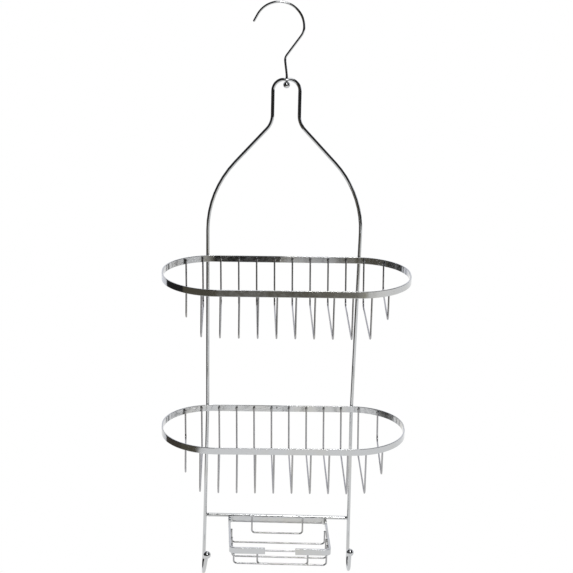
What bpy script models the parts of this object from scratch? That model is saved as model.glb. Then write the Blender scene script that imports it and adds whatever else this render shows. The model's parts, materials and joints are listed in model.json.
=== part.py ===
"""Hanging shower caddy: two wire baskets and a soap dish on a bent wire frame, on a swivel hook.

Run with:  blender --background --python part.py

Metres, +Z up, +X to the user's right, and the user looks along +Y.  The origin is the seat: the
highest point of the inside of the top hook, where it rests on a shower arm.  The hook hangs from the
seat, and the whole caddy hangs from the hook's ball and turns about the shank, which is vertical.
"""
import math

import bmesh
import bpy
from mathutils import Matrix, Vector

# Wires and bands
FRAME_WIRE = 0.0038
HOOK_WIRE = 0.0026
CROSSBAR_WIRE = 0.0043
TINE_WIRE = 0.0019
DISH_WIRE = 0.0019
BAND_HEIGHT = 0.0072
BAND_THICKNESS = 0.0015
BAND_EDGE = 0.0003
WELD_GAP = 0.0003

# Top hook
HOOK_RADIUS = 0.0257
HOOK_TIP_ANGLE = math.radians(152)
HOOK_TIP_RUN = 0.0085
HOOK_KNEE = -0.0296
HOOK_KNEE_RADIUS = 0.0164
HOOK_BEND_X = 0.0064
HOOK_BEND = -0.0567
HOOK_BEND_RADIUS = 0.009
SHANK_TOP = -0.0745
SHANK_TOP_RADIUS = 0.020
SHANK_OFFSET = 0.0088
HOOK_BALL = 0.0076

# Eye in the top of the frame, which the hook's shank passes through
EYE_HOLE = 0.0032
EYE_WIDTH = 0.0078
EYE_HEIGHT = 0.0032

# Frame: one wire.  Its legs are drawn in a little at the lower basket, and the left one is longer.
# Each leg's place across is given at the shoulder, the lower basket, the crossbar and the foot.
ARCH_TOP = -0.0794
ARCH_RADIUS = 0.0118
NECK_HALF_WIDTH = 0.0141
NECK_BEND = -0.1262
NECK_BEND_RADIUS = 0.022
LEFT_LEG = (-0.0722, -0.0705, -0.0724, -0.0736)
RIGHT_LEG = (0.0921, 0.0884, 0.0895, 0.0901)
SHOULDER_CORNER = -0.2004
SHOULDER_RADIUS = 0.110
LEG_KINK_RADIUS = 0.05
FOOT_RADIUS = 0.012
FOOT_BALL = 0.0088
FOOT_BALL_HEIGHT = 0.0256
LEFT_FOOT_BOTTOM = -0.6406
LEFT_FOOT_END = -0.0703
RIGHT_FOOT_BOTTOM = -0.6363
RIGHT_FOOT_END = 0.0906

# Baskets, welded to the frame a little to the right of its middle
RIM_SHIFT = 0.0027
TINE_SHIFT = 0.0015
UPPER_RIM = -0.2744
LOWER_RIM = -0.4464
RIM_LENGTH = 0.2585
RIM_DEPTH = 0.121
RIM_BACK_CORNER = 0.054
RIM_FRONT_CORNER = 0.059
TINE_COUNT = 12
TINE_PITCH = 0.0192
TINE_ABOVE = 0.0024
TINE_DROP = 0.0500
END_TINE_DROP = 0.0313
END_TINE_TAPER = 0.0027
TINE_SIDE_LEAN = 0.0009
TINE_BACK_LEAN = 0.0026
TINE_FRONT_LEAN = 0.0007
TINE_CORNER = 0.006

# Soap dish, hung behind and under the crossbar, both a little low on the right
CROSSBAR = -0.5781
DISH_TILT = 0.017
DISH_SKEW = 0.021
DISH_BAND_THICKNESS = 0.0024
DISH_SHIFT = 0.0004
DISH_WIDTH = 0.1088
DISH_FRONT_Y = -0.0760
DISH_CORNER = 0.005
DISH_FRONT_GAP = 0.033
DISH_DROP = 0.0155
DISH_BACK_HALF = 0.0286
DISH_INNER_HALF = 0.0275
DISH_INNER_SHIFT = 0.0028
DISH_WIRE_CORNER = 0.0035
DISH_CROSS_WIRES = (-0.0240, -0.0440, -0.0590)
DISH_LIP_HALF = 0.0505
DISH_INNER_LOWER = 0.0010

# Facets
HOOK_ARC_STEP = math.radians(4)
FRAME_ARC_STEP = math.radians(12)
RIM_ARC_STEP = math.radians(10)
THIN_ARC_STEP = math.radians(22.5)
FINE_BEVEL = 4
THIN_BEVEL = 2
BALL_STEPS = 16
EYE_SIDES = 24
SAME_POINT = 0.000001
WELD_SEAM = 0.00001

# Worked out from the above
FOOT_DEPTH = 2 * FOOT_RADIUS
RIM_BACK_Y = -(FRAME_WIRE / 2 + WELD_GAP + BAND_THICKNESS / 2)
RIM_FRONT_Y = RIM_BACK_Y - RIM_DEPTH
RIM_MIDDLE = SHANK_OFFSET + RIM_SHIFT
TINE_MIDDLE = SHANK_OFFSET + TINE_SHIFT
TINE_INSET = BAND_THICKNESS / 2 + WELD_GAP + TINE_WIRE / 2
DISH_MIDDLE = SHANK_OFFSET + DISH_SHIFT
DISH_INSET = DISH_BAND_THICKNESS / 2 + WELD_GAP + DISH_WIRE / 2
DISH_RIM = CROSSBAR - CROSSBAR_WIRE / 2 - WELD_GAP - BAND_HEIGHT / 2
DISH_BACK_Y = CROSSBAR_WIRE / 2 + WELD_GAP + DISH_BAND_THICKNESS / 2
DISH_FLOOR = DISH_RIM - DISH_DROP
HOOK_CENTRE = Vector((0, 0, HOOK_WIRE / 2 - HOOK_RADIUS))
HOOK_TIP_WAY = Vector((math.cos(HOOK_TIP_ANGLE), 0, math.sin(HOOK_TIP_ANGLE)))
FORWARD = Vector((0, -1, 0))
BALL_CENTRE = ARCH_TOP - EYE_HEIGHT / 2 - WELD_GAP - HOOK_BALL / 2


def clear_scene():
    for item in list(bpy.data.objects):
        bpy.data.objects.remove(item)


def new_collection(name):
    collection = bpy.data.collections.new(name)
    bpy.context.scene.collection.children.link(collection)
    return collection


def steel(name, colour, roughness):
    """A plated or bare steel finish."""
    material = bpy.data.materials.new(name)
    material.use_nodes = True
    surface = material.node_tree.nodes["Principled BSDF"]
    surface.inputs["Base Color"].default_value = (*colour, 1)
    surface.inputs["Metallic"].default_value = 1.0
    surface.inputs["Roughness"].default_value = roughness
    return material


def rounded(corners, radii, step):
    """The path through the corners, each turned on an arc of its own radius."""
    path = [corners[0]]
    for before, corner, after, radius in zip(corners, corners[1:], corners[2:], radii):
        into = (corner - before).normalized()
        out = (after - corner).normalized()
        turn = into.angle(out)
        start = corner - into * radius * math.tan(turn / 2)
        centre = corner + (out - into).normalized() * radius / math.cos(turn / 2)
        axis = into.cross(out).normalized()
        count = max(2, round(turn / step))
        for k in range(count + 1):
            point = centre + Matrix.Rotation(turn * k / count, 3, axis) @ (start - centre)
            if (point - path[-1]).length > SAME_POINT:
                path.append(point)
    if (corners[-1] - path[-1]).length > SAME_POINT:
        path.append(corners[-1])
    return path


def wire(name, path, diameter, material, bevel=THIN_BEVEL):
    """A round wire along a path."""
    curve = bpy.data.curves.new(name, "CURVE")
    curve.dimensions = "3D"
    curve.bevel_depth = diameter / 2
    curve.bevel_resolution = bevel
    curve.use_fill_caps = True
    spline = curve.splines.new("POLY")
    spline.points.add(len(path) - 1)
    for point, place in zip(spline.points, path):
        point.co = (*place, 1)
    curve.materials.append(material)
    item = bpy.data.objects.new(name, curve)
    PARTS.objects.link(item)
    return item


def band(name, path, closed, thickness, material):
    """A flat band on edge along a level path: a wall that Solidify thickens evenly."""
    shape = bmesh.new()
    low = [shape.verts.new((p.x, p.y, p.z - BAND_HEIGHT / 2)) for p in path]
    high = [shape.verts.new((p.x, p.y, p.z + BAND_HEIGHT / 2)) for p in path]
    for k in range(len(path) if closed else len(path) - 1):
        n = (k + 1) % len(path)
        shape.faces.new((low[k], low[n], high[n], high[k]))
    mesh = bpy.data.meshes.new(name)
    shape.to_mesh(mesh)
    shape.free()
    mesh.materials.append(material)
    item = bpy.data.objects.new(name, mesh)
    PARTS.objects.link(item)
    thicken = item.modifiers.new("thickness", "SOLIDIFY")
    thicken.thickness = thickness
    thicken.offset = 0
    thicken.use_even_offset = True
    soften = item.modifiers.new("edges", "BEVEL")
    soften.width = BAND_EDGE
    soften.segments = 1
    soften.limit_method = "ANGLE"
    return item


def ball(name, centre, diameter, neck, towards, material):
    """A turned ball with a short flat neck that meets the end of its wire."""
    radius = diameter / 2
    start = math.asin(neck / 2 / radius)
    profile = [(0, radius), (neck / 2, radius)]
    for k in range(BALL_STEPS // 2 + 1):
        angle = start + (math.pi - start) * k / (BALL_STEPS // 2)
        profile.append((radius * math.sin(angle), radius * math.cos(angle)))
    shape = bmesh.new()
    verts = [shape.verts.new((x, 0, z)) for x, z in profile]
    for a, b in zip(verts, verts[1:]):
        shape.edges.new((a, b))
    mesh = bpy.data.meshes.new(name)
    shape.to_mesh(mesh)
    shape.free()
    mesh.materials.append(material)
    item = bpy.data.objects.new(name, mesh)
    item.location = centre
    item.rotation_euler = Vector(towards).to_track_quat("Z", "Y").to_euler()
    PARTS.objects.link(item)
    turn = item.modifiers.new("turn", "SCREW")
    turn.steps = BALL_STEPS
    turn.render_steps = BALL_STEPS
    turn.use_merge_vertices = True
    turn.merge_threshold = WELD_SEAM
    turn.use_normal_calculate = True
    return item


def cylinder(name, centre, diameter, height, collection):
    """A vertical cylinder."""
    shape = bmesh.new()
    bmesh.ops.create_cone(shape, cap_ends=True, segments=EYE_SIDES, depth=height,
                          radius1=diameter / 2, radius2=diameter / 2)
    mesh = bpy.data.meshes.new(name)
    shape.to_mesh(mesh)
    shape.free()
    item = bpy.data.objects.new(name, mesh)
    item.location = centre
    collection.objects.link(item)
    item.hide_render = True
    item.display_type = "WIRE"
    return item


def as_mesh(item):
    """The same object with its curve turned into a closed mesh, ready for a Boolean."""
    bpy.context.view_layer.update()
    evaluated = item.evaluated_get(bpy.context.evaluated_depsgraph_get())
    mesh = bpy.data.meshes.new_from_object(evaluated)
    shape = bmesh.new()
    shape.from_mesh(mesh)
    bmesh.ops.remove_doubles(shape, verts=shape.verts, dist=SAME_POINT)
    shape.to_mesh(mesh)
    shape.free()
    name = item.name
    solid = bpy.data.objects.new(name + "_solid", mesh)
    solid.matrix_world = item.matrix_world
    PARTS.objects.link(solid)
    bpy.data.objects.remove(item)
    solid.name = name
    return solid


def boolean(item, other, operation):
    step = item.modifiers.new(other.name, "BOOLEAN")
    step.operation = operation
    step.solver = "EXACT"
    step.object = other


def swivel_hook(material):
    """The open hook, its knee, its slanted run back to the axis, and the shank through the eye."""
    count = round(HOOK_TIP_ANGLE / HOOK_ARC_STEP)
    path = [HOOK_CENTRE + HOOK_RADIUS * HOOK_TIP_WAY + HOOK_TIP_RUN * FORWARD.cross(HOOK_TIP_WAY)]
    for k in range(count + 1):
        angle = HOOK_TIP_ANGLE * (1 - k / count)
        path.append(HOOK_CENTRE + HOOK_RADIUS * Vector((math.cos(angle), 0, math.sin(angle))))
    shank_end = BALL_CENTRE + HOOK_BALL / 2 + WELD_GAP
    corners = [
        path[-1],
        Vector((HOOK_RADIUS, 0, HOOK_KNEE)),
        Vector((HOOK_BEND_X, 0, HOOK_BEND)),
        Vector((SHANK_OFFSET, 0, SHANK_TOP)),
        Vector((SHANK_OFFSET, 0, shank_end)),
    ]
    path += rounded(corners, [HOOK_KNEE_RADIUS, HOOK_BEND_RADIUS, SHANK_TOP_RADIUS], FRAME_ARC_STEP)[1:]
    wire("swivel_hook", path, HOOK_WIRE, material, FINE_BEVEL)
    ball("hook_ball", (SHANK_OFFSET, 0, BALL_CENTRE), HOOK_BALL, HOOK_WIRE, (0, 0, 1), material)


def half_frame(side, leg, bottom, foot_end_x):
    """The corners of one side of the frame, from the end of its foot hook up to the arch."""
    at_shoulder, at_basket, at_bar, at_foot = leg
    neck = SHANK_OFFSET + side * NECK_HALF_WIDTH
    foot_end = bottom + FOOT_BALL_HEIGHT - FOOT_BALL / 2 - WELD_GAP
    return [
        Vector((foot_end_x, -FOOT_DEPTH, foot_end)),
        Vector((at_foot, -FOOT_DEPTH, bottom)),
        Vector((at_foot, 0, bottom)),
        Vector((at_bar, 0, CROSSBAR)),
        Vector((at_basket, 0, LOWER_RIM)),
        Vector((at_shoulder, 0, SHOULDER_CORNER)),
        Vector((neck, 0, NECK_BEND)),
        Vector((neck, 0, ARCH_TOP)),
    ]


def frame_wire(material):
    """The frame: foot hook, leg, shoulder, neck and arch, and the same down the other side."""
    left = half_frame(-1, LEFT_LEG, LEFT_FOOT_BOTTOM, LEFT_FOOT_END)
    right = half_frame(1, RIGHT_LEG, RIGHT_FOOT_BOTTOM, RIGHT_FOOT_END)
    half = [FOOT_RADIUS, FOOT_RADIUS, LEG_KINK_RADIUS, LEG_KINK_RADIUS, SHOULDER_RADIUS,
            NECK_BEND_RADIUS, ARCH_RADIUS]
    path = rounded(left + right[::-1], half + half[::-1], FRAME_ARC_STEP)
    frame = as_mesh(wire("frame_wire", path, FRAME_WIRE, material, FINE_BEVEL))
    top = Vector((SHANK_OFFSET, 0, ARCH_TOP))
    boolean(frame, cylinder("eye_boss", top, EYE_WIDTH, EYE_HEIGHT, CUTTERS), "UNION")
    boolean(frame, cylinder("eye_hole", top, EYE_HOLE, 2 * FRAME_WIRE, CUTTERS), "DIFFERENCE")
    for name, corners in (("left_foot_ball", left), ("right_foot_ball", right)):
        end, bend = corners[:2]
        way = (end - bend).normalized()
        place = end + way * (FOOT_BALL / 2 + WELD_GAP)
        ball(name, place, FOOT_BALL, FRAME_WIRE, -way, material)


def rim_path(level):
    """The centre line of a basket's rim band, as a closed level loop."""
    half = RIM_LENGTH / 2
    corners = []
    for side, y, radius in ((1, RIM_FRONT_Y, RIM_FRONT_CORNER), (1, RIM_BACK_Y, RIM_BACK_CORNER),
                            (-1, RIM_BACK_Y, RIM_BACK_CORNER), (-1, RIM_FRONT_Y, RIM_FRONT_CORNER)):
        corners.append((Vector((RIM_MIDDLE + side * half, y, level)), radius))
    middle = Vector((RIM_MIDDLE, RIM_FRONT_Y, level))
    loop = [middle] + [corner for corner, _ in corners] + [middle]
    return rounded(loop, [radius for _, radius in corners], RIM_ARC_STEP)[:-1]


def rim_y(across, corner, front):
    """Where a tine meets the inside of the rim: beside the straight run or on the corner arc."""
    radius = corner - TINE_INSET
    into = max(0.0, abs(across - RIM_MIDDLE) - (RIM_LENGTH / 2 - corner))
    fall = radius - math.sqrt(radius ** 2 - into ** 2)
    if front:
        return RIM_FRONT_Y + TINE_INSET + fall
    return RIM_BACK_Y - TINE_INSET - fall


def tine(name, across, taper, level, drop, material):
    """One wire of a basket: down from the back of the rim, forward, and up to the front."""
    share = drop / TINE_DROP
    back_x = across - TINE_SIDE_LEAN * share
    front_x = across - taper
    back = rim_y(back_x, RIM_BACK_CORNER, False)
    front = rim_y(front_x, RIM_FRONT_CORNER, True)
    top = level + TINE_ABOVE
    low = level - drop
    corners = [
        Vector((back_x, back, top)),
        Vector((across, back - TINE_BACK_LEAN * share, low)),
        Vector((front_x, front + TINE_FRONT_LEAN * share, low)),
        Vector((front_x, front, top)),
    ]
    wire(name, rounded(corners, [TINE_CORNER, TINE_CORNER], THIN_ARC_STEP), TINE_WIRE, material)


def basket(name, level, rim_material, tine_material):
    band(name + "_rim", rim_path(level), True, BAND_THICKNESS, rim_material)
    for k in range(TINE_COUNT):
        place = k - (TINE_COUNT - 1) / 2
        at_end = k in (0, TINE_COUNT - 1)
        middle = RIM_MIDDLE if at_end else TINE_MIDDLE
        taper = math.copysign(END_TINE_TAPER, place) if at_end else 0
        drop = END_TINE_DROP if at_end else TINE_DROP
        tine(f"{name}_tine_{k + 1:02d}", middle + place * TINE_PITCH, taper, level, drop, tine_material)


def settled(points):
    """Where points of the level dish really sit: skewed a little to the right, and low on the right."""
    return [Vector((p.x - DISH_SKEW * p.y, p.y, p.z - DISH_TILT * (p.x - SHANK_OFFSET))) for p in points]


def hanging_wire(name, middle, half, y, top, floor, material):
    """A dish wire: down from the rim, across, and up again."""
    corners = [
        Vector((middle - half, y, top)),
        Vector((middle - half, y, floor)),
        Vector((middle + half, y, floor)),
        Vector((middle + half, y, top)),
    ]
    path = rounded(corners, [DISH_WIRE_CORNER, DISH_WIRE_CORNER], THIN_ARC_STEP)
    wire(name, settled(path), DISH_WIRE, material)


def soap_dish(rim_material, wire_material):
    """The dish: an open band, and the bent wires that hang from it and hold the soap."""
    half = DISH_WIDTH / 2
    gap = DISH_FRONT_GAP / 2
    outline = [(-gap, DISH_FRONT_Y), (-half, DISH_FRONT_Y), (-half, DISH_BACK_Y), (half, DISH_BACK_Y),
               (half, DISH_FRONT_Y), (gap, DISH_FRONT_Y)]
    corners = [Vector((DISH_MIDDLE + x, y, DISH_RIM)) for x, y in outline]
    path = rounded(corners, [DISH_CORNER] * 4, THIN_ARC_STEP)
    band("soap_dish_rim", settled(path), False, DISH_BAND_THICKNESS, rim_material)

    inside_top = DISH_RIM + BAND_HEIGHT / 2 - BAND_EDGE
    under_band = DISH_RIM - BAND_HEIGHT / 2 - WELD_GAP
    hanging_wire("dish_back_wire", DISH_MIDDLE, DISH_BACK_HALF, DISH_BACK_Y - DISH_INSET, inside_top,
                 DISH_FLOOR, wire_material)
    for k, y in enumerate(DISH_CROSS_WIRES):
        hanging_wire(f"dish_cross_wire_{k + 1}", DISH_MIDDLE, half - DISH_INSET, y, DISH_RIM, DISH_FLOOR,
                     wire_material)
    hanging_wire("dish_front_wire", DISH_MIDDLE, DISH_LIP_HALF, DISH_FRONT_Y, under_band, DISH_FLOOR,
                 wire_material)
    hanging_wire("dish_inner_front_wire", DISH_MIDDLE + DISH_INNER_SHIFT, DISH_INNER_HALF,
                 DISH_FRONT_Y + DISH_INSET, DISH_RIM, DISH_FLOOR - DISH_INNER_LOWER, wire_material)


def crossbar(material):
    """The bar between the legs that carries the soap dish."""
    short = FRAME_WIRE / 2 + WELD_GAP
    ends = [Vector((LEFT_LEG[2] + short, 0, CROSSBAR)), Vector((RIGHT_LEG[2] - short, 0, CROSSBAR))]
    wire("crossbar", settled(ends), CROSSBAR_WIRE, material, FINE_BEVEL)


def hang_on_swivel():
    """Everything but the hook hangs on one empty on the shank, so turning it turns the caddy."""
    swivel = bpy.data.objects.new("swivel_axis", None)
    swivel.location = (SHANK_OFFSET, 0, ARCH_TOP)
    PARTS.objects.link(swivel)
    bpy.context.view_layer.update()
    for item in PARTS.objects:
        if item.name not in ("swivel_hook", "hook_ball", "swivel_axis"):
            item.parent = swivel
            item.matrix_parent_inverse = swivel.matrix_world.inverted()


clear_scene()
PARTS = new_collection("shower_caddy")
CUTTERS = new_collection("cutters")
dark_chrome = steel("chrome_frame", (0.46, 0.47, 0.48), 0.12)
band_chrome = steel("chrome_band", (0.55, 0.56, 0.57), 0.16)
thin_chrome = steel("chrome_wire", (0.60, 0.60, 0.61), 0.14)
swivel_hook(dark_chrome)
frame_wire(dark_chrome)
basket("upper_basket", UPPER_RIM, band_chrome, thin_chrome)
basket("lower_basket", LOWER_RIM, band_chrome, thin_chrome)
crossbar(dark_chrome)
soap_dish(band_chrome, thin_chrome)
hang_on_swivel()
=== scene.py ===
"""The looks of a hanging chrome shower caddy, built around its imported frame.

Metres, +Z up.  The user looks along +Y, and the baskets are on the -Y side of the frame.  The origin
is the seat, where the top hook rests on a shower arm.  Every wire, band and ball of the frame is made
again here with a finer surface, its welds are added, and all of it is finished in worn chrome plate.
"""

import json
import math

import bmesh
import bpy
from mathutils import Matrix, Vector


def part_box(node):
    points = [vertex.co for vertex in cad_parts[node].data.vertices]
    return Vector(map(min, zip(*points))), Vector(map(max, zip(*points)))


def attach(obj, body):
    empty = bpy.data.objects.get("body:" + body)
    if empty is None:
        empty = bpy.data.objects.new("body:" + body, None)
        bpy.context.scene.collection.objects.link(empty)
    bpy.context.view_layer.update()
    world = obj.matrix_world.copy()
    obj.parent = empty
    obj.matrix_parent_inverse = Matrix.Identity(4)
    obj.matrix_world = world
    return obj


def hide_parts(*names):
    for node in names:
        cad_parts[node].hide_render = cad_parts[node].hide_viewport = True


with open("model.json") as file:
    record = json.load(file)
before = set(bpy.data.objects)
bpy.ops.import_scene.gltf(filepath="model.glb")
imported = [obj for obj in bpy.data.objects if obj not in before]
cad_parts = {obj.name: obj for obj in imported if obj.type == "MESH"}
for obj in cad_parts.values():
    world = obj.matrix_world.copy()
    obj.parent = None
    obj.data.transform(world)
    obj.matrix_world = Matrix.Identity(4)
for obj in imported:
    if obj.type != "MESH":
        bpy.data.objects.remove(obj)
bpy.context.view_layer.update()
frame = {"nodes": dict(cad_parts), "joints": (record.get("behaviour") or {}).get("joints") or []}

HOOK_BODY = "hook"
CADDY_BODY = "caddy"
SWIVEL = Vector(frame["joints"][0]["pos_m"])
UP = Vector((0, 0, 1))
BACK = Vector((0, 1, 0))

# Camera, at the place the caddy is seen from
CAMERA_PLACE = Vector((-0.0433, -1.8000, 0.2696))
CAMERA_PITCH = 0.30929
CAMERA_YAW = 0.03155
CAMERA_ROLL = 0.02279
CAMERA_LENS = 109.86
SENSOR = 36.0

# Shape of the top hook: each corner below its circle has its (x, z) and its bend radius
HOOK_RADIUS = 0.0257
HOOK_TIP_ANGLE = math.radians(152)
HOOK_TIP_RUN = 0.0085
HOOK_CORNERS = (((0.0257, -0.0296), 0.0164), ((0.0064, -0.0567), 0.009), ((0.0088, -0.0745), 0.020))

# Shape of the frame and the feet: each leg's place across is given at the shoulder, the lower basket,
# the crossbar and the foot
FRAME_WIRE = 0.0038
ARCH_RADIUS = 0.0118
NECK_HALF_WIDTH = 0.0141
NECK_BEND = -0.1262
NECK_BEND_RADIUS = 0.022
SHOULDER_CORNER = -0.2004
SHOULDER_RADIUS = 0.110
LEFT_LEG = (-0.0722, -0.0705, -0.0724, -0.0736)
RIGHT_LEG = (0.0921, 0.0884, 0.0895, 0.0901)
LEG_KINK_RADIUS = 0.05
FOOT_RADIUS = 0.012
FOOT_BOTTOM_DROP = 0.0256
EYE_HOLE = 0.0032
EYE_WIDTH = 0.0074
EYE_HEIGHT = 0.0031
EYE_REACH = 0.0065

# Shape of the baskets: a rim's two ends meet at the joint in its back, and lean by these angles there
RIM_THICKNESS = 0.0015
RIM_BACK_CORNER = 0.054
RIM_FRONT_CORNER = 0.059
RIM_JOINT = -0.0055
JOINT_GAP = 0.0003
TWIST_STEPS = 10
LEFT_END_LEAN = -0.044
RIGHT_END_LEAN = 0.025
RIGHT_LEAN_HOLD = 4
TINE_WIRE = 0.0019
TINE_BACK_LEAN = 0.0026
TINE_FRONT_LEAN = 0.0007
TINE_SIDE_LEAN = 0.0009
TINE_CORNER = 0.006
FULL_DROP = 0.0500
SHALLOW = 0.9

# Shape of the soap dish
DISH_THICKNESS = 0.0024
DISH_HEIGHT = 0.0072
DISH_TILT = 0.017
DISH_SKEW = 0.021
DISH_CORNER = 0.005
DISH_FRONT_GAP = 0.033
DISH_WIRE_CORNER = 0.0035

# Edges of the bands and ends of the wires
BAND_ROUND = 0.00040
WIDEST_MITRE = 2.0
FLAT_HOLD = 0.00012
STRAIGHT_HOLD = 0.0003
CUT_ROUND = 0.95

# Weld beads: half sizes, and how far each stands off
JOINT_WELD = (0.0011, 0.0011, 0.0037)
LEG_WELD = (0.0010, 0.0009, 0.0027)
LEG_WELD_ASIDE = FRAME_WIRE * 0.30
LEG_WELD_BEHIND = 0.0006
TINE_WELD = (TINE_WIRE * 0.78, 0.00042, 0.0023)
TINE_WELD_OUT = TINE_WIRE * 0.55
TINE_WELD_DROP = 0.0002
DISH_WELD = (0.0012, 0.0012, 0.0012)
DISH_WELD_DROP = 0.0004
BAR_WELD_DEEP = 0.0010
BAR_WELD_WIDE = 0.50
BAR_WELD_TALL = 0.53

# Fineness of the surfaces
WIRE_SIDES = 20
THIN_SIDES = 14
DRILL_SIDES = 48
FRAME_STEP = math.radians(5)
HOOK_STEP = math.radians(3)
RIM_STEP = math.radians(2.5)
THIN_STEP = math.radians(9)
SHARP_ANGLE = math.radians(50)
NEAR = 0.0001
NO_LENGTH = 1e-6
CORNER_RINGS = 4
BALL_RINGS = 24

# Chrome plate
BRIGHT = (0.55, 0.56, 0.57)
# The thin wires' plate is darker than the frame's and bands': painted shade for the dimmer reflections the
# wires show
SHADED_WIRE_PLATE = (0.38, 0.38, 0.39)
DULL_SPOT = (0.30, 0.30, 0.29)
DULL_SHARE = 0.35
SPOT_ROUGHNESS = 0.25
RUBBED_ROUGHER = 2.2

# Studio
WHITE = (1, 1, 1)

# Studio: the floor and the white table, which fades out towards the front and has a cut corner
FLOOR_LEVEL = -0.70
FLOOR_REACH = 6.0
TABLE_LEFT = -0.45
TABLE_RIGHT = 1.9
TABLE_FRONT = -1.0
TABLE_BACK = 1.6
TABLE_FADE = 0.46
TABLE_CUT_SIDE = -0.56
TABLE_CUT_FRONT = -0.10
TABLE_LEVEL = FLOOR_LEVEL + 0.001
DIM_FLOOR = (0.105, 0.096, 0.072)
DIM_OUTLINE = ((TABLE_LEFT, -0.157), (-3.0, -0.89), (-3.0, -1.7), (0.5, -1.7), (0.5, -0.19))
DIM_LEVEL = FLOOR_LEVEL + 0.0005

# Studio: the apron in front of the table, which brightens to the right
APRON_LEFT = 0.05
APRON_RIGHT = 1.2
APRON_FRONT = -1.6
APRON_BACK = -1.22
APRON_FADE = 0.80
APRON_STOPS = ((0.28, (0.33, 0.32, 0.29)), (0.60, (0.40, 0.38, 0.31)))
APRON_LEVEL = FLOOR_LEVEL + 0.002

# Studio: the walls behind and beside
WALL_WHITE = (0.97, 0.98, 1.04)
WALL_GLOW = 0.95
BACKDROP_TOP = 1.2
WING_LEFT = -2.24
LEFT_WING_FRONT = 0.205
LEFT_WALL_TOP = 0.6
RIGHT_WING_FRONT = -0.2
RIGHT_WING_LOW = -0.38
RIGHT_WING_TOP = 0.3

# Studio: the lights overhead, each with its sides, the (y, z) of its two edges, and its glow
SOFTBOX = ((-0.23, 0.75), (-2.0, 0.9), (-1.2, 2.2), 2.4)
LAMP = ((0.08, 0.42), (-1.69, 1.355), (-1.51, 1.645), 22.0)
CEILING = ((-0.23, 1.2), (-0.5, 2.2), (1.6, 2.2), 1.5)

# Studio: the dark room, warm below and nearly black above
WARM_BELOW = -0.50
DARK_ABOVE = -0.33
ROOM_WARM = (0.19, 0.16, 0.12)
ROOM_DARK = (0.022, 0.022, 0.022)


def rounded(corners, radii, step):
    """The path through the corners, each turned on an arc of its own radius."""
    path = [corners[0]]
    for before, corner, after, radius in zip(corners, corners[1:], corners[2:], radii):
        into = (corner - before).normalized()
        out = (after - corner).normalized()
        turn = into.angle(out)
        start = corner - into * radius * math.tan(turn / 2)
        centre = corner + (out - into).normalized() * radius / math.cos(turn / 2)
        axis = into.cross(out).normalized()
        count = max(2, round(turn / step))
        hold_straight(path, start)
        for k in range(count + 1):
            point = centre + Matrix.Rotation(turn * k / count, 3, axis) @ (start - centre)
            if (point - path[-1]).length > NEAR:
                path.append(point)
    hold_straight(path, corners[-1])
    if (corners[-1] - path[-1]).length > NO_LENGTH:
        path.append(corners[-1])
    return path


def hold_straight(path, end):
    """Adds points close to both ends of a straight run, so that the bends beside it don't shade it."""
    run = end - path[-1]
    if run.length > 4 * STRAIGHT_HOLD:
        step = run.normalized() * STRAIGHT_HOLD
        path += [path[-1] + step, end - step]


def new_piece(name, mesh, body, slot, replaced=()):
    """A shown piece that rides on its body, smooth but for its sharp edges."""
    smooth(mesh)
    piece = bpy.data.objects.new(name, mesh)
    bpy.context.scene.collection.objects.link(piece)
    piece.data.materials.append(MATERIALS[slot])
    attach(piece, body)
    if replaced:
        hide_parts(*replaced)
    return piece


def smooth(mesh):
    """Shades a mesh smooth but for its sharp edges."""
    mesh.shade_smooth()
    mesh.set_sharp_from_angle(angle=SHARP_ANGLE)


def loft(shape, rings, loop=False):
    """Skins the rings, and closes both ends unless the rings make a loop."""
    made = [[shape.verts.new(point) for point in ring] for ring in rings]
    pairs = list(zip(made, made[1:]))
    if loop:
        pairs.append((made[-1], made[0]))
    for a, b in pairs:
        for k in range(len(a)):
            n = (k + 1) % len(a)
            shape.faces.new((a[k], a[n], b[n], b[k]))
    if not loop:
        for ring, turned in ((made[0], True), (made[-1], False)):
            centre = shape.verts.new(sum((v.co for v in ring), Vector()) / len(ring))
            for k in range(len(ring)):
                n = (k + 1) % len(ring)
                corners = (ring[n], ring[k], centre) if turned else (ring[k], ring[n], centre)
                shape.faces.new(corners)


def tangents(path, loop=False):
    """The direction of travel at each point of a path."""
    result = []
    for k, point in enumerate(path):
        before = path[k - 1] if k or loop else point
        after = path[(k + 1) % len(path)] if k < len(path) - 1 or loop else point
        into = (point - before).normalized() if before != point else Vector()
        out = (after - point).normalized() if after != point else Vector()
        result.append((into + out).normalized())
    return result


def cut_end(tip, inward, radius):
    """The places and radii of a wire's end, from its rounded edge in to its full width."""
    edge = radius * CUT_ROUND
    stations = []
    for k in range(CORNER_RINGS, 0, -1):
        angle = math.pi / 2 * k / CORNER_RINGS
        stations.append((tip + inward * edge * (1 - math.sin(angle)), radius - edge * (1 - math.cos(angle))))
    return stations + [(tip + inward * edge, radius), (tip + inward * (edge + STRAIGHT_HOLD), radius)]


def round_rings(path, radius, sides):
    """Circles across a path, with each end cut square and its edge rounded over."""
    ways = tangents(path)
    first = cut_end(path[0], ways[0], radius)
    last = cut_end(path[-1], -ways[-1], radius)
    stations = [(place, ways[0], reach) for place, reach in first]
    stations += [(place, way, radius) for place, way in zip(path[1:-1], ways[1:-1])]
    stations += [(place, ways[-1], reach) for place, reach in reversed(last)]
    side = BACK
    rings = []
    for centre, way, reach in stations:
        side = (side - way * side.dot(way)).normalized()
        other = way.cross(side)
        rings.append([centre + reach * (math.cos(a) * side + math.sin(a) * other)
                      for a in (2 * math.pi * k / sides for k in range(sides))])
    return rings


def to_mesh(name, shape):
    """A mesh of the shape, with every face pointing out."""
    bmesh.ops.recalc_face_normals(shape, faces=shape.faces)
    mesh = bpy.data.meshes.new(name)
    shape.to_mesh(mesh)
    shape.free()
    return mesh


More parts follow.
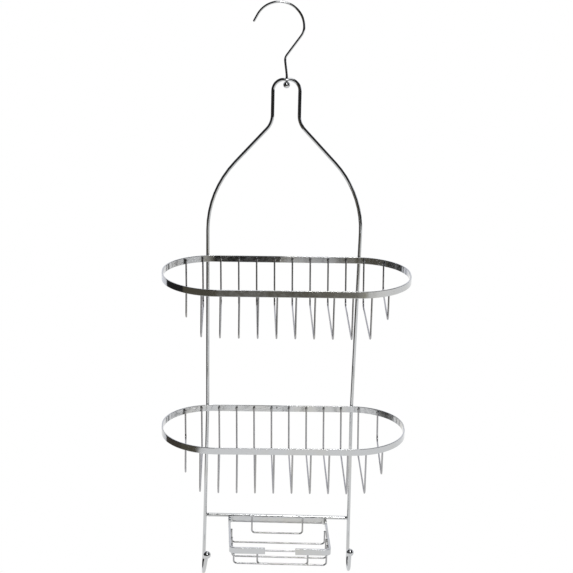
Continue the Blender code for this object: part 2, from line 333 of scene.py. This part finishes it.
def wire(name, path, diameter, sides, body, slot, replaced):
    """A round wire along a path."""
    shape = bmesh.new()
    loft(shape, round_rings(path, diameter / 2, sides))
    new_piece(name, to_mesh(name, shape), body, slot, replaced)


def band_section(height, thickness):
    """A flat band's section, across and up: flat faces held flat up to their rounded edges."""
    turn = height / 2 - BAND_ROUND
    points = []
    for k, (x, z) in enumerate(((1, 1), (-1, 1), (-1, -1), (1, -1))):
        centre = (x * (thickness / 2 - BAND_ROUND), z * turn)
        edge = []
        for j in range(CORNER_RINGS + 1):
            angle = math.pi / 2 * (k + j / CORNER_RINGS)
            edge.append((centre[0] + BAND_ROUND * math.cos(angle), centre[1] + BAND_ROUND * math.sin(angle)))
        held = [(x * thickness / 2, z * (turn - FLAT_HOLD))]
        points += edge + held if k % 2 else held + edge
    return points


def band(name, path, loop, height, thickness, body, slot, replaced, leans=None):
    """A flat band on edge along a level path, leaning inward at its top by the angles given."""
    section = band_section(height, thickness)
    ways = tangents(path, loop)
    rings = []
    for k, (point, way) in enumerate(zip(path, ways)):
        across = way.cross(UP).normalized()
        leg = (path[(k + 1) % len(path)] - point).normalized()
        if k == len(path) - 1 and not loop:
            leg = way
        widen = min(WIDEST_MITRE, 1 / way.dot(leg))
        lean = leans[k] if leans else 0.0
        rise = UP * math.cos(lean) - across * math.sin(lean)
        out = across * math.cos(lean) + UP * math.sin(lean)
        rings.append([point + out * x * widen + rise * z for x, z in section])
    if not loop:
        rings = [shrunk(rings[0])] + rings + [shrunk(rings[-1])]
        rings[1] = moved(rings[1], ways[0] * BAND_ROUND)
        rings[-2] = moved(rings[-2], -ways[-1] * BAND_ROUND)
    shape = bmesh.new()
    loft(shape, rings, loop)
    new_piece(name, to_mesh(name, shape), body, slot, replaced)


def moved(ring, shift):
    """The ring, shifted."""
    return [point + shift for point in ring]


def shrunk(ring):
    """The ring drawn in by the width of the rounded edge, for the end of an open band."""
    centre = sum(ring, Vector()) / len(ring)
    result = []
    for point in ring:
        arm = point - centre
        result.append(point - arm.normalized() * min(BAND_ROUND, arm.length / 2))
    return result


def beads(name, places, body, slot):
    """Weld beads: each is a small flattened swelling at its place, with its own half sizes."""
    shape = bmesh.new()
    for place, sizes in places:
        turn = Matrix.Translation(place) @ Matrix.Diagonal((*sizes, 1))
        bmesh.ops.create_icosphere(shape, subdivisions=2, radius=1, matrix=turn)
    mesh = bpy.data.meshes.new(name)
    shape.to_mesh(mesh)
    shape.free()
    new_piece(name, mesh, body, slot)


def middle(name):
    """The middle of a frame node's box."""
    low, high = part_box(name)
    return (low + high) / 2


# ---------------------------------------------------------------- chrome plate

def feed(tree, socket, value):
    """Gives a socket its value: a number, a colour, or what another node puts out."""
    if isinstance(value, bpy.types.NodeSocket):
        tree.links.new(value, socket)
    elif isinstance(value, tuple):
        socket.default_value = (*value, 1)
    else:
        socket.default_value = value


def noise(tree, place, scale, detail, roughness=0.5):
    """A cloudy noise through the object."""
    item = tree.nodes.new("ShaderNodeTexNoise")
    feed(tree, item.inputs["Vector"], place)
    feed(tree, item.inputs["Scale"], scale)
    feed(tree, item.inputs["Detail"], detail)
    feed(tree, item.inputs["Roughness"], roughness)
    return item.outputs["Fac"]


def spread(tree, value, low, high, start=0.0, end=1.0, eased=False):
    """Takes a value's range from low to high onto start to end, and holds it beyond both."""
    item = tree.nodes.new("ShaderNodeMapRange")
    item.interpolation_type = "SMOOTHSTEP" if eased else "LINEAR"
    for k, number in enumerate((value, low, high, start, end)):
        feed(tree, item.inputs[k], number)
    return item.outputs["Result"]


def blend(tree, share, first, second):
    """Goes from one colour to another by a share."""
    item = tree.nodes.new("ShaderNodeMix")
    item.data_type = "RGBA"
    for socket, value in (("Factor", share), ("A", first), ("B", second)):
        feed(tree, item.inputs[socket], value)
    return item.outputs["Result"]


def reckon(tree, operation, *values):
    """Works out one number from others."""
    item = tree.nodes.new("ShaderNodeMath")
    item.operation = operation
    for k, value in enumerate(values):
        feed(tree, item.inputs[k], value)
    return item.outputs["Value"]


def dull_spots(tree, place):
    """A mask of small round spots that gather in some places."""
    cells = tree.nodes.new("ShaderNodeTexVoronoi")
    feed(tree, cells.inputs["Scale"], 520.0)
    feed(tree, cells.inputs["Vector"], place)
    spots = spread(tree, cells.outputs["Distance"], low=0.10, high=0.20, start=1.0, end=0.0)
    gathered = spread(tree, noise(tree, place, scale=95.0, detail=2.0), low=0.56, high=0.70)
    return reckon(tree, "MULTIPLY", spots, gathered)


def chrome(name, colour, warm, roughness, orange_peel):
    """Bright plate with a faint orange peel, thin warm patches, dull spots and fine rub marks."""
    material = bpy.data.materials.new(name)
    material.use_nodes = True
    tree = material.node_tree
    surface = tree.nodes["Principled BSDF"].inputs
    place = tree.nodes.new("ShaderNodeTexCoord").outputs["Object"]
    spots = dull_spots(tree, place)

    patches = spread(tree, noise(tree, place, scale=26.0, detail=4.0, roughness=0.55), low=0.46, high=0.68)
    plate = blend(tree, patches, colour, warm)
    dulled = blend(tree, reckon(tree, "MULTIPLY", spots, DULL_SHARE), plate, DULL_SPOT)

    rubbed = spread(tree, noise(tree, place, scale=210.0, detail=5.0, roughness=0.6), low=0.35, high=0.75,
                    start=roughness, end=roughness * RUBBED_ROUGHER)
    rough = reckon(tree, "MULTIPLY_ADD", spots, SPOT_ROUGHNESS, rubbed)

    bump = tree.nodes.new("ShaderNodeBump")
    feed(tree, bump.inputs["Strength"], 1.0)
    feed(tree, bump.inputs["Distance"], orange_peel)
    feed(tree, bump.inputs["Height"], noise(tree, place, scale=260.0, detail=2.0))

    feed(tree, surface["Metallic"], 1.0)
    feed(tree, surface["Base Color"], dulled)
    feed(tree, surface["Roughness"], rough)
    feed(tree, surface["Normal"], bump.outputs["Normal"])
    return material


MATERIALS = {
    "frame_steel": chrome("chrome_frame", BRIGHT, warm=(0.54, 0.54, 0.53), roughness=0.06,
                          orange_peel=0.0000015),
    "band_steel": chrome("chrome_band", BRIGHT, warm=(0.54, 0.535, 0.51), roughness=0.08,
                         orange_peel=0.0000020),
    # Tines and dish wires get the darker plate and a darker warm tone: painted shade, not a different metal
    "wire_steel": chrome("chrome_wire", SHADED_WIRE_PLATE, warm=(0.365, 0.36, 0.345), roughness=0.09,
                         orange_peel=0.0000015),
}


# ---------------------------------------------------------------- hook and frame

def top_hook():
    """The open hook, its slanted run, the straight shank, and the ball that carries the caddy."""
    low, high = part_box("swivel_hook")
    diameter = high.y - low.y
    centre = Vector((0, 0, high.z - diameter / 2 - HOOK_RADIUS))
    count = round(HOOK_TIP_ANGLE / HOOK_STEP)
    way = Vector((math.cos(HOOK_TIP_ANGLE), 0, math.sin(HOOK_TIP_ANGLE)))
    path = [centre + HOOK_RADIUS * way - HOOK_TIP_RUN * BACK.cross(way)]
    for k in range(count + 1):
        angle = HOOK_TIP_ANGLE * (1 - k / count)
        path.append(centre + HOOK_RADIUS * Vector((math.cos(angle), 0, math.sin(angle))))
    turns = [Vector((x, 0, z)) for (x, z), _ in HOOK_CORNERS]
    corners = [path[-1], *turns, Vector((SWIVEL.x, 0, middle("hook_ball").z))]
    path += rounded(corners, [radius for _, radius in HOOK_CORNERS], FRAME_STEP)[1:]
    wire("top_hook_wire", path, diameter, WIRE_SIDES, HOOK_BODY, "frame_steel", ("swivel_hook",))
    turned_ball("top_hook_ball", HOOK_BODY, "hook_ball")


def turned_ball(name, body, replaced):
    """A smooth ball in the place of the frame's own."""
    low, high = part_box(replaced)
    shape = bmesh.new()
    bmesh.ops.create_uvsphere(shape, u_segments=2 * BALL_RINGS, v_segments=BALL_RINGS,
                              radius=(high.x - low.x) / 2, matrix=Matrix.Translation((low + high) / 2))
    new_piece(name, to_mesh(name, shape), body, "frame_steel", (replaced,))


def half_frame(side, leg, ball):
    """The corners of one side of the frame, from the end of its foot hook up to the arch."""
    at_shoulder, at_basket, at_bar, at_foot = leg
    neck = SWIVEL.x + side * NECK_HALF_WIDTH
    bottom = ball.z - FOOT_BOTTOM_DROP
    return [
        ball,
        Vector((at_foot, ball.y, bottom)),
        Vector((at_foot, 0, bottom)),
        Vector((at_bar, 0, middle("crossbar").z)),
        Vector((at_basket, 0, middle("lower_basket_rim").z)),
        Vector((at_shoulder, 0, SHOULDER_CORNER)),
        Vector((neck, 0, NECK_BEND)),
        Vector((neck, 0, SWIVEL.z)),
    ]


def bent_frame():
    """The one bent wire that carries everything, its eye, and the balls on its foot hooks."""
    left = half_frame(-1, LEFT_LEG, middle("left_foot_ball"))
    right = half_frame(1, RIGHT_LEG, middle("right_foot_ball"))
    half = [FOOT_RADIUS, FOOT_RADIUS, LEG_KINK_RADIUS, LEG_KINK_RADIUS, SHOULDER_RADIUS,
            NECK_BEND_RADIUS, ARCH_RADIUS]
    path = rounded(left + right[::-1], half + half[::-1], FRAME_STEP)
    shape = bmesh.new()
    loft(shape, round_rings(path, FRAME_WIRE / 2, WIRE_SIDES))
    swell_eye(shape)
    body = new_piece("bent_frame", to_mesh("bent_frame", shape), CADDY_BODY, "frame_steel", ("frame_wire",))
    drill_eye(body)
    turned_ball("left_foot_knob", CADDY_BODY, "left_foot_ball")
    turned_ball("right_foot_knob", CADDY_BODY, "right_foot_ball")


def swell_eye(shape):
    """Flattens the top of the arch and widens it, into a boss around the eye."""
    for vert in shape.verts:
        away = abs(vert.co.x - SWIVEL.x)
        if vert.co.z > SWIVEL.z - NECK_HALF_WIDTH / 2 and away < EYE_REACH:
            share = 0.5 + 0.5 * math.cos(math.pi * away / EYE_REACH)
            turned = max(0.0, away - (NECK_HALF_WIDTH - ARCH_RADIUS))
            centre = SWIVEL.z - ARCH_RADIUS + math.sqrt(ARCH_RADIUS ** 2 - turned ** 2)
            vert.co.y *= 1 + share * (EYE_WIDTH / FRAME_WIRE - 1)
            vert.co.z = centre + (vert.co.z - centre) * (1 + share * (EYE_HEIGHT / FRAME_WIRE - 1))


def drill_eye(body):
    """Pierces the arch with the round hole that the hook's shank runs through."""
    drill = bmesh.new()
    bmesh.ops.create_cone(drill, cap_ends=True, segments=DRILL_SIDES, radius1=EYE_HOLE / 2,
                          radius2=EYE_HOLE / 2, depth=2 * FRAME_WIRE, matrix=Matrix.Translation(SWIVEL))
    cutter = bpy.data.objects.new("eye_drill", to_mesh("eye_drill", drill))
    bpy.context.scene.collection.objects.link(cutter)
    cut = body.modifiers.new("eye", "BOOLEAN")
    cut.operation = "DIFFERENCE"
    cut.object = cutter
    bpy.context.view_layer.update()
    pierced = bpy.data.meshes.new_from_object(body.evaluated_get(bpy.context.evaluated_depsgraph_get()))
    body.modifiers.clear()
    body.data = pierced
    bpy.data.objects.remove(cutter)
    smooth(pierced)


# ---------------------------------------------------------------- baskets

def rim_loop(low, high, thickness):
    """A rim band's centre line, as a closed level loop from the front middle, and its lean at each point."""
    level = (low.z + high.z) / 2
    centre = (low.x + high.x) / 2
    half = (high.x - low.x - thickness) / 2
    front, back = low.y + thickness / 2, high.y - thickness / 2
    corners = [
        (Vector((centre + half, front, level)), RIM_FRONT_CORNER),
        (Vector((centre + half, back, level)), RIM_BACK_CORNER),
        (Vector((centre - half, back, level)), RIM_BACK_CORNER),
        (Vector((centre - half, front, level)), RIM_FRONT_CORNER),
    ]
    start = Vector((centre, front, level))
    loop = [start] + [corner for corner, _ in corners] + [start]
    path = rounded(loop, [radius for _, radius in corners], RIM_STEP)[:-1]

    joint = centre + RIM_JOINT
    straight_back = back - NO_LENGTH
    after = next(k for k, point in enumerate(path) if point.y > straight_back and point.x < joint)
    corner_end = centre + half - RIM_BACK_CORNER
    twist = (joint + JOINT_GAP - corner_end) / TWIST_STEPS
    twists = [corner_end + twist * k for k in range(1, TWIST_STEPS + 1)]
    path[after:after] = [Vector((x, back, level)) for x in (*twists, joint - JOINT_GAP)]
    leans = [end_lean(point.x - joint, half - RIM_BACK_CORNER) if point.y > straight_back else 0.0
             for point in path]
    return path, leans


def end_lean(along, fade):
    """How a rim's back leans beside its joint: evenly on the left, and fading to nothing on the right."""
    if along < 0:
        return LEFT_END_LEAN
    return RIGHT_END_LEAN * min(1.0, RIGHT_LEAN_HOLD * max(0.0, 1 - along / fade))


def tine_path(low, high, radius, level, centre):
    """Down from the back of the rim, forward, and up to the front.

    The deep tines lean a little to the side.  The shallow ones, at the two ends of a basket, run in
    towards the middle at the front.
    """
    floor = low.z + radius
    share = (level - floor) / FULL_DROP
    back, front = high.y - radius, low.y + radius
    left, right = low.x + radius, high.x - radius
    back_x = left
    across = left + TINE_SIDE_LEAN * share
    front_x = across
    if share < SHALLOW and left < centre:
        front_x = right
    elif share < SHALLOW:
        across = right
        back_x = right - TINE_SIDE_LEAN * share
        front_x = left
    corners = [
        Vector((back_x, back, high.z)),
        Vector((across, back - TINE_BACK_LEAN * share, floor)),
        Vector((front_x, front + TINE_FRONT_LEAN * share, floor)),
        Vector((front_x, front, high.z)),
    ]
    return rounded(corners, [TINE_CORNER, TINE_CORNER], THIN_STEP)


def leg_at(leg, level):
    """Where a leg stands across, between its shoulder and the lower basket."""
    share = (SHOULDER_CORNER - level) / (SHOULDER_CORNER - middle("lower_basket_rim").z)
    return leg[0] + (leg[1] - leg[0]) * share


def basket(name):
    """A rim band, its tines, and the welds that join them to each other and to the legs."""
    rim = name + "_rim"
    low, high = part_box(rim)
    level = (low.z + high.z) / 2
    centre = (low.x + high.x) / 2
    loop, leans = rim_loop(low, high, RIM_THICKNESS)
    band(rim + "_band", loop, True, high.z - low.z, RIM_THICKNESS, CADDY_BODY, "band_steel", (rim,), leans)
    welds = [(Vector((centre + RIM_JOINT, high.y - RIM_THICKNESS / 2, level)), JOINT_WELD)]
    for tine in sorted(n for n in frame["nodes"] if n.startswith(name + "_tine")):
        path = tine_path(*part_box(tine), TINE_WIRE / 2, level, centre)
        number = tine.rsplit("_", 1)[1]
        wire(f"{name}_bow_{number}", path, TINE_WIRE, THIN_SIDES, CADDY_BODY, "wire_steel", (tine,))
        for end, outward in ((path[0], 1), (path[-1], -1)):
            place = Vector((end.x, end.y + outward * TINE_WELD_OUT, level - TINE_WELD_DROP))
            welds.append((place, TINE_WELD))
    for leg in (LEFT_LEG, RIGHT_LEG):
        for edge in (-1, 1):
            place = Vector((leg_at(leg, level) + edge * LEG_WELD_ASIDE, high.y + LEG_WELD_BEHIND, level))
            welds.append((place, LEG_WELD))
    beads(name + "_welds", welds, CADDY_BODY, "band_steel")


# ---------------------------------------------------------------- soap dish

def settled(points):
    """Where points of the level dish really sit: skewed a little to the right, and low on the right."""
    return [Vector((p.x - DISH_SKEW * p.y, p.y, p.z - DISH_TILT * (p.x - SWIVEL.x))) for p in points]


def levelled(node_name, radius):
    """A dish piece's box with the dish's skew and tilt taken out, drawn in by the piece's own radius."""
    low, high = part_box(node_name)
    reach = (high.x - low.x) / 2 - radius
    middle_x = (low.x + high.x) / 2
    rise = DISH_TILT * (middle_x - SWIVEL.x)
    y = (low.y + high.y) / 2
    level_low = Vector((middle_x - reach + DISH_SKEW * y, y, low.z + radius + DISH_TILT * reach + rise))
    level_high = Vector((middle_x + reach + DISH_SKEW * y, y, high.z - DISH_TILT * reach + rise))
    return level_low, level_high


def bowed(node_name):
    """A dish wire's path: down from its end, across, and up again."""
    low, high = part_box(node_name)
    radius = (high.y - low.y) / 2
    low, high = levelled(node_name, radius)
    corners = [
        Vector((low.x, low.y, high.z)),
        Vector((low.x, low.y, low.z)),
        Vector((high.x, low.y, low.z)),
        Vector((high.x, low.y, high.z)),
    ]
    return settled(rounded(corners, [DISH_WIRE_CORNER, DISH_WIRE_CORNER], THIN_STEP)), 2 * radius


def soap_dish():
    """The open band, the bent wires that hang from it, and the bar that carries them."""
    low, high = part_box("soap_dish_rim")
    front, back = low.y + DISH_THICKNESS / 2, high.y - DISH_THICKNESS / 2
    left = low.x + DISH_THICKNESS / 2 + DISH_SKEW * back
    right = high.x - DISH_THICKNESS / 2 + DISH_SKEW * front
    centre = (left + right) / 2
    level = (low.z + high.z) / 2 + DISH_TILT * ((low.x + high.x) / 2 - SWIVEL.x)
    outline = [(centre - DISH_FRONT_GAP / 2, front), (left, front), (left, back), (right, back),
               (right, front), (centre + DISH_FRONT_GAP / 2, front)]
    path = rounded([Vector((x, y, level)) for x, y in outline], [DISH_CORNER] * 4, THIN_STEP)
    band("soap_dish_band", settled(path), False, DISH_HEIGHT, DISH_THICKNESS, CADDY_BODY, "band_steel",
         ("soap_dish_rim",))
    welds = []
    for name in sorted(n for n in frame["nodes"] if n.startswith("dish_")):
        path, diameter = bowed(name)
        wire(name.replace("_wire", "_rod"), path, diameter, THIN_SIDES, CADDY_BODY, "wire_steel", (name,))
        for end in (path[0], path[-1]):
            welds.append((Vector((end.x, end.y, end.z - DISH_WELD_DROP)), DISH_WELD))
    bar_low, bar_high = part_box("crossbar")
    bar = bar_high.y - bar_low.y
    level = (bar_low.z + bar_high.z) / 2
    ends = settled([Vector((x, 0, level)) for x in (bar_low.x, bar_high.x)])
    wire("dish_crossbar", ends, bar, WIRE_SIDES, CADDY_BODY, "frame_steel", ("crossbar",))
    for end in ends:
        welds.append((end, (BAR_WELD_DEEP, bar * BAR_WELD_WIDE, bar * BAR_WELD_TALL)))
    beads("dish_welds", welds, CADDY_BODY, "frame_steel")


# ---------------------------------------------------------------- studio

def card(name, corners, shader, reflected=True):
    """A flat stage piece, which either shows only in reflections or everywhere but in them."""
    shape = bmesh.new()
    shape.faces.new([shape.verts.new(corner) for corner in corners])
    mesh = bpy.data.meshes.new(name)
    shape.to_mesh(mesh)
    shape.free()
    mesh.materials.append(shader)
    item = bpy.data.objects.new(name, mesh)
    bpy.context.scene.collection.objects.link(item)
    item.visible_glossy = reflected
    item.visible_camera = not reflected
    item.visible_diffuse = not reflected
    item.visible_shadow = not reflected


def level_card(name, outline, level, shader):
    """A stage piece that lies flat at its level."""
    card(name, [(x, y, level) for x, y in outline], shader)


def ruled(sides, low, high):
    """The corners of a rectangle between two sides, from its low edge's (y, z) to its high edge's."""
    left, right = sides
    return [(left, *low), (right, *low), (right, *high), (left, *high)]


def glow(name, strength, colour=WHITE):
    """A glowing surface, of one colour or of what a function works out in its node tree."""
    material = bpy.data.materials.new(name)
    material.use_nodes = True
    tree = material.node_tree
    tree.nodes.clear()
    light = tree.nodes.new("ShaderNodeEmission")
    feed(tree, light.inputs["Color"], colour(tree) if callable(colour) else colour)
    feed(tree, light.inputs["Strength"], strength)
    out = tree.nodes.new("ShaderNodeOutputMaterial")
    tree.links.new(light.outputs["Emission"], out.inputs["Surface"])
    return material


def place_along(tree, axis):
    """Where a point is along an axis."""
    split = tree.nodes.new("ShaderNodeSeparateXYZ")
    tree.links.new(tree.nodes.new("ShaderNodeNewGeometry").outputs["Position"], split.inputs["Vector"])
    return split.outputs[axis]


def table_colour(tree):
    """White, but for the front of the table, which fades into the dim floor."""
    fade = spread(tree, place_along(tree, "Y"), TABLE_FRONT - TABLE_FADE, TABLE_FRONT, eased=True)
    return blend(tree, fade, DIM_FLOOR, WHITE)


def apron_colour(tree):
    """From the dim floor on the left up to white on the right."""
    ramp = tree.nodes.new("ShaderNodeValToRGB")
    stops = ramp.color_ramp.elements
    stops[0].color = (*DIM_FLOOR, 1)
    stops[1].color = (*WHITE, 1)
    for place, colour in APRON_STOPS:
        stops.new(place).color = (*colour, 1)
    feed(tree, ramp.inputs["Fac"], spread(tree, place_along(tree, "X"), APRON_LEFT, APRON_LEFT + APRON_FADE))
    return ramp.outputs["Color"]


def floors():
    """The pale floor under everything, and in its reflections a white table on dim ground."""
    floor = ruled((-FLOOR_REACH, FLOOR_REACH), (-FLOOR_REACH, FLOOR_LEVEL), (FLOOR_REACH, FLOOR_LEVEL))
    card("floor", floor, glow("pale_floor", 1.0), reflected=False)
    faded_front = TABLE_FRONT - TABLE_FADE
    table = ((TABLE_LEFT, TABLE_CUT_SIDE), (TABLE_CUT_FRONT, faded_front), (TABLE_RIGHT, faded_front),
             (TABLE_RIGHT, TABLE_BACK), (TABLE_LEFT, TABLE_BACK))
    level_card("table", table, TABLE_LEVEL, glow("white_table", 1.0, table_colour))
    apron = ((APRON_LEFT, APRON_FRONT), (APRON_RIGHT, APRON_FRONT), (TABLE_RIGHT, APRON_BACK),
             (APRON_LEFT, APRON_BACK))
    level_card("apron", apron, APRON_LEVEL, glow("apron_white", 1.0, apron_colour))
    level_card("dim_floor", DIM_OUTLINE, DIM_LEVEL, glow("dim_floor", 1.0, DIM_FLOOR))


def walls():
    """The white walls behind the table and beside it."""
    white = glow("backdrop_white", WALL_GLOW, WALL_WHITE)
    foot = (TABLE_BACK, FLOOR_LEVEL)
    card("backdrop", ruled((TABLE_LEFT, TABLE_RIGHT), foot, (TABLE_BACK, BACKDROP_TOP)), white)
    card("left_wall", ruled((WING_LEFT, TABLE_LEFT), foot, (TABLE_BACK, LEFT_WALL_TOP)), white)
    left_wing = ((TABLE_LEFT, LEFT_WING_FRONT), (TABLE_LEFT, TABLE_BACK), (WING_LEFT, TABLE_BACK))
    level_card("left_wing", left_wing, TABLE_LEVEL, white)
    right_wing = ((RIGHT_WING_FRONT, RIGHT_WING_LOW), (TABLE_BACK, RIGHT_WING_LOW),
                  (TABLE_BACK, RIGHT_WING_TOP), (RIGHT_WING_FRONT, RIGHT_WING_TOP))
    card("right_wing", [(TABLE_RIGHT, y, z) for y, z in right_wing], white)


def lights():
    """The softbox, the lamp in front of it, and the bright ceiling."""
    for name, (*edges, strength) in (("softbox", SOFTBOX), ("lamp", LAMP), ("ceiling", CEILING)):
        card(name, ruled(*edges), glow(name + "_white", strength))


def room():
    """The world: a dark room to reflections, and open white to everything else."""
    world = bpy.data.worlds.new("studio")
    bpy.context.scene.world = world
    world.use_nodes = True
    tree = world.node_tree
    tree.nodes.clear()
    split = tree.nodes.new("ShaderNodeSeparateXYZ")
    tree.links.new(tree.nodes.new("ShaderNodeTexCoord").outputs["Generated"], split.inputs["Vector"])
    rise = spread(tree, split.outputs["Z"], WARM_BELOW, DARK_ABOVE, eased=True)
    dark = tree.nodes.new("ShaderNodeBackground")
    feed(tree, dark.inputs["Color"], blend(tree, rise, ROOM_WARM, ROOM_DARK))
    open_white = tree.nodes.new("ShaderNodeBackground")
    feed(tree, open_white.inputs["Color"], WHITE)
    pick = tree.nodes.new("ShaderNodeMixShader")
    ray = tree.nodes.new("ShaderNodeLightPath")
    for k, value in enumerate((ray.outputs["Is Glossy Ray"], open_white.outputs["Background"],
                               dark.outputs["Background"])):
        feed(tree, pick.inputs[k], value)
    out = tree.nodes.new("ShaderNodeOutputWorld")
    tree.links.new(pick.outputs["Shader"], out.inputs["Surface"])


def camera():
    """The view: from the front, above the baskets and a little to the left."""
    data = bpy.data.cameras.new("camera")
    data.lens = CAMERA_LENS
    data.sensor_width = SENSOR
    item = bpy.data.objects.new("camera", data)
    bpy.context.scene.collection.objects.link(item)
    item.matrix_world = (Matrix.Translation(CAMERA_PLACE) @ Matrix.Rotation(-CAMERA_YAW, 4, "Z")
                         @ Matrix.Rotation(math.pi / 2 - CAMERA_PITCH, 4, "X")
                         @ Matrix.Rotation(CAMERA_ROLL, 4, "Z"))
    bpy.context.scene.camera = item


camera()
floors()
walls()
lights()
room()
top_hook()
bent_frame()
basket("upper_basket")
basket("lower_basket")
soap_dish()
bpy.context.scene.view_settings.view_transform = "Standard"
